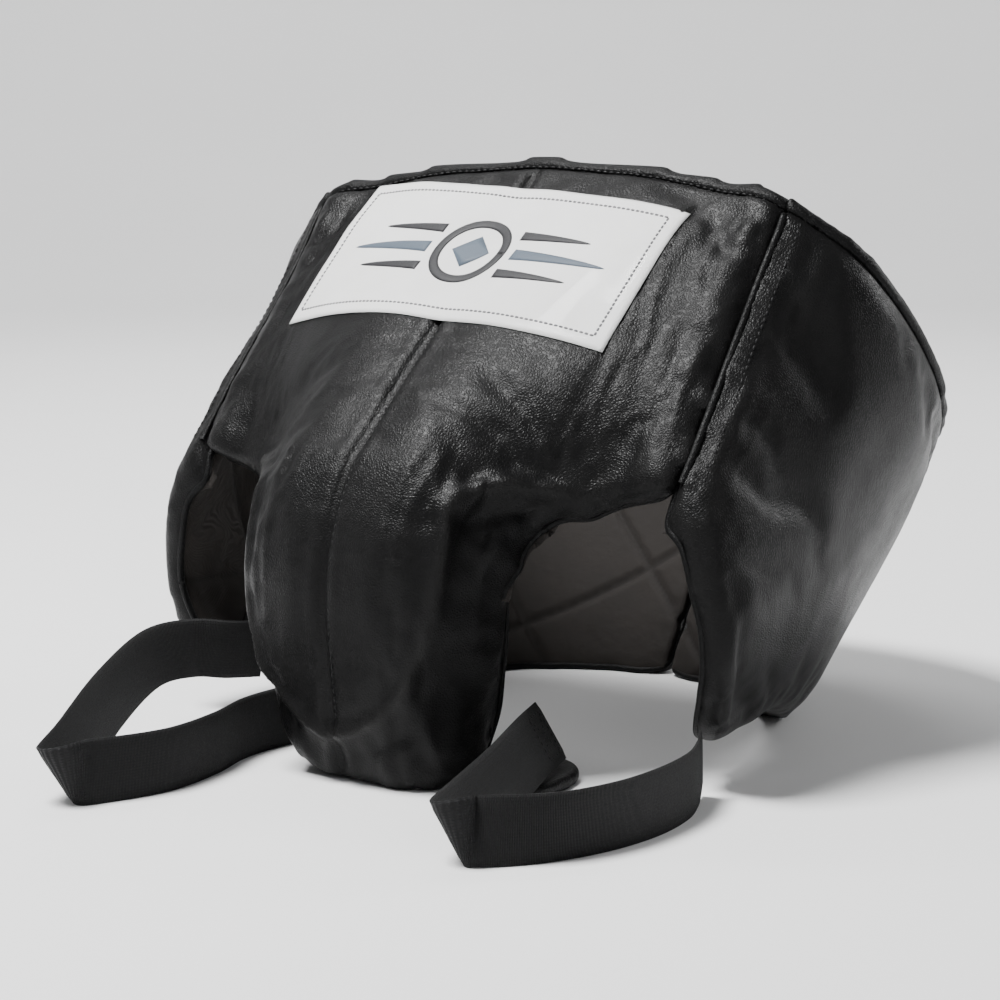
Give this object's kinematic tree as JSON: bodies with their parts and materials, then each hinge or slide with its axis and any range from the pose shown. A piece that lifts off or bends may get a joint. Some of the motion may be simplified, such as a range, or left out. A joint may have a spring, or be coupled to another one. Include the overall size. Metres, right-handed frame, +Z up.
{
  "type": "groin protector",
  "caption": "Padded black leather boxing groin guard with a quilted waist belt, hard cup in a leather pouch, leg openings, elastic leg straps and a rear hook-and-loop closure.",
  "frame": {"origin": "centre of the footprint, on the floor that the guard stands on", "axes": "+Z up, -Y towards the front (the side the cup faces), +X to the wearer's left; the guard leans back 38 degrees from upright and stands on the foot of its cup, its straps and the hem behind"},
  "size_m": [0.2878, 0.405, 0.2414],
  "materials": {
    "outer_leather": "semi-gloss black full-grain leather with fine grain and soft wrinkles",
    "foam": "closed-cell foam core, hidden inside the leather",
    "quilted_lining": "dark brown-grey quilted lining with diamond stitching",
    "binding": "folded black leather binding with one row of stitches",
    "cup_plastic": "moulded hard cup, hidden between foam and lining",
    "label": null,
    "webbing": "black woven elastic, 25 mm wide",
    "loop_pile": "soft black loop pile",
    "hook_tape": "black hook tape",
    "closure_web": "black woven closure band"
  },
  "bodies": {
    "front": {"belly_leather_left": "outer_leather", "belly_leather_right": "outer_leather", "cup_leather_left": "outer_leather", "cup_leather_right": "outer_leather", "cup_gusset_left": "outer_leather", "cup_gusset_right": "outer_leather", "belly_foam_pad": "foam", "belly_lining": "quilted_lining", "leg_arch_facing_left": "binding", "leg_arch_facing_right": "binding", "belly_waist_binding": "binding", "cup_foam_pad": "foam", "hard_cup": "cup_plastic", "cup_lining": "quilted_lining", "cup_ridge_piping": "binding", "side_seam_welt_left": "outer_leather", "side_seam_welt_right": "outer_leather", "label_patch": "label", "leg_strap_left": "webbing", "leg_strap_right": "webbing", "crotch_tab": "outer_leather"},
    "left_wing": {"left_wing_leather": "outer_leather", "left_wing_foam_pad": "foam", "left_wing_lining": "quilted_lining", "left_wing_hem_facing": "binding", "left_wing_waist_binding": "binding", "strap_anchor_left": "webbing", "loop_patch": "loop_pile"},
    "right_wing": {"right_wing_leather": "outer_leather", "right_wing_foam_pad": "foam", "right_wing_lining": "quilted_lining", "right_wing_hem_facing": "binding", "right_wing_waist_binding": "binding", "strap_anchor_right": "webbing", "closure_anchor": "closure_web"},
    "closure": {"closure_strap": "closure_web", "hook_patch": "hook_tape", "closure_pull_tab": "outer_leather"}
  },
  "joints": [
    {"name": "right_wing_open", "type": "hinge", "parent": "front", "child": "right_wing", "pos_m": [-0.122, -0.0158, 0.17], "axis": [0, 0.663, 0.7486], "range_deg": [0, 25]},
    {"name": "closure_peel", "type": "hinge", "parent": "right_wing", "child": "closure", "pos_m": [-0.03, 0.1691, 0.042], "axis": [0, 0.5509, 0.8346], "range_deg": [0, 125]},
    {"name": "left_wing_open", "type": "hinge", "parent": "front", "child": "left_wing", "pos_m": [0.122, -0.0158, 0.17], "axis": [0, -0.663, -0.7486], "range_deg": [0, 25]}
  ],
  "couplings": [
    {"joint": "left_wing_open", "follows": "closure_peel", "ratio": 0.2}
  ]
}
